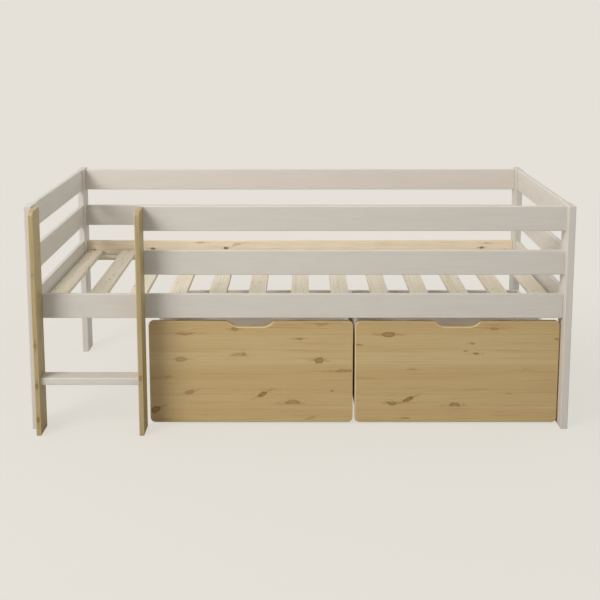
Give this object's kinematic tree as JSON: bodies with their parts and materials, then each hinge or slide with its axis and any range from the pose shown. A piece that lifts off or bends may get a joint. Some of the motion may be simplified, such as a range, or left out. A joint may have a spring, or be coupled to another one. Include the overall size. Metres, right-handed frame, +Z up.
{
  "type": "cabin bed",
  "caption": "Low raised single bed with board railings all round, a short two-post ladder with a step, a slat base and roll-out drawers with hand cut-outs.",
  "frame": {"origin": "on the floor, under the middle of the box round the bed and its ladder", "axes": "+Z up, +X along the bed away from the ladder, -Y towards the ladder and drawer side"},
  "size_m": [2.066, 1.067, 0.874],
  "materials": {
    "paint": "satin warm light greige paint on planed pine",
    "pine": "clear-lacquered golden pine with knots, satin",
    "raw_pine": "bare planed pine, matt",
    "box_board": "taupe painted board, satin",
    "zinc": "bright zinc-plated steel",
    "castor_steel": "zinc-grey pressed sheet steel",
    "wheel_plastic": "grey polyamide",
    "black_plastic": "black plastic"
  },
  "bodies": {
    "frame": {"post_front_left": "paint", "post_front_right": "paint", "post_back_left": "paint", "post_back_right": "paint", "end_rail_left_bottom": "paint", "end_rail_left_middle": "paint", "end_rail_left_top": "paint", "end_rail_right_bottom": "paint", "end_rail_right_middle": "paint", "end_rail_right_top": "paint", "front_rail_bottom": "paint", "front_rail_middle": "paint", "front_rail_top": "paint", "back_rail_bottom": "raw_pine", "back_rail_middle": "paint", "back_rail_top": "paint", "slat_ledge_front": "pine", "slat_ledge_back": "pine", "slat_01": "raw_pine", "slat_02": "raw_pine", "slat_03": "raw_pine", "slat_04": "raw_pine", "slat_05": "raw_pine", "slat_06": "raw_pine", "slat_07": "raw_pine", "slat_08": "raw_pine", "slat_09": "raw_pine", "slat_10": "raw_pine", "slat_11": "raw_pine", "slat_12": "raw_pine", "slat_13": "raw_pine", "ladder_post_left": "pine", "ladder_post_right": "pine", "ladder_step": "paint", "ladder_spacers": "black_plastic", "frame_bolts": "zinc", "barrel_nuts": "zinc", "dowels": "raw_pine", "long_screws": "zinc", "wood_screws": "zinc"},
    "drawer_left": {"drawer_left_front": "pine", "drawer_left_side_left": "box_board", "drawer_left_side_right": "box_board", "drawer_left_back": "box_board", "drawer_left_bottom": "raw_pine", "drawer_left_castor_brackets": "castor_steel", "drawer_left_castor_axles": "zinc", "drawer_left_screws": "zinc"},
    "drawer_right": {"drawer_right_front": "pine", "drawer_right_side_left": "box_board", "drawer_right_side_right": "box_board", "drawer_right_back": "box_board", "drawer_right_bottom": "raw_pine", "drawer_right_castor_brackets": "castor_steel", "drawer_right_castor_axles": "zinc", "drawer_right_screws": "zinc"},
    "wheels_left_front": {"wheels_left_front": "wheel_plastic"},
    "wheels_left_rear": {"wheels_left_rear": "wheel_plastic"},
    "wheels_right_front": {"wheels_right_front": "wheel_plastic"},
    "wheels_right_rear": {"wheels_right_rear": "wheel_plastic"}
  },
  "joints": [
    {"name": "drawer_left_slide", "type": "slide", "parent": "frame", "child": "drawer_left", "axis": [0, -1, 0], "range_m": [0, 0.65]},
    {"name": "drawer_right_slide", "type": "slide", "parent": "frame", "child": "drawer_right", "axis": [0, -1, 0], "range_m": [0, 0.65]},
    {"name": "wheels_left_front_roll", "type": "hinge", "parent": "drawer_left", "child": "wheels_left_front", "pos_m": [-0.1895, -0.3315, 0.02], "axis": [1, 0, 0], "range_deg": [0, 1900]},
    {"name": "wheels_left_rear_roll", "type": "hinge", "parent": "drawer_left", "child": "wheels_left_rear", "pos_m": [-0.1895, 0.1835, 0.02], "axis": [1, 0, 0], "range_deg": [0, 1900]},
    {"name": "wheels_right_front_roll", "type": "hinge", "parent": "drawer_right", "child": "wheels_right_front", "pos_m": [0.6065, -0.3315, 0.02], "axis": [1, 0, 0], "range_deg": [0, 1900]},
    {"name": "wheels_right_rear_roll", "type": "hinge", "parent": "drawer_right", "child": "wheels_right_rear", "pos_m": [0.6065, 0.1835, 0.02], "axis": [1, 0, 0], "range_deg": [0, 1900]}
  ],
  "couplings": [
    {"joint": "wheels_left_front_roll", "follows": "drawer_left_slide", "rad_per_m": 50},
    {"joint": "wheels_left_rear_roll", "follows": "drawer_left_slide", "rad_per_m": 50},
    {"joint": "wheels_right_front_roll", "follows": "drawer_right_slide", "rad_per_m": 50},
    {"joint": "wheels_right_rear_roll", "follows": "drawer_right_slide", "rad_per_m": 50}
  ]
}
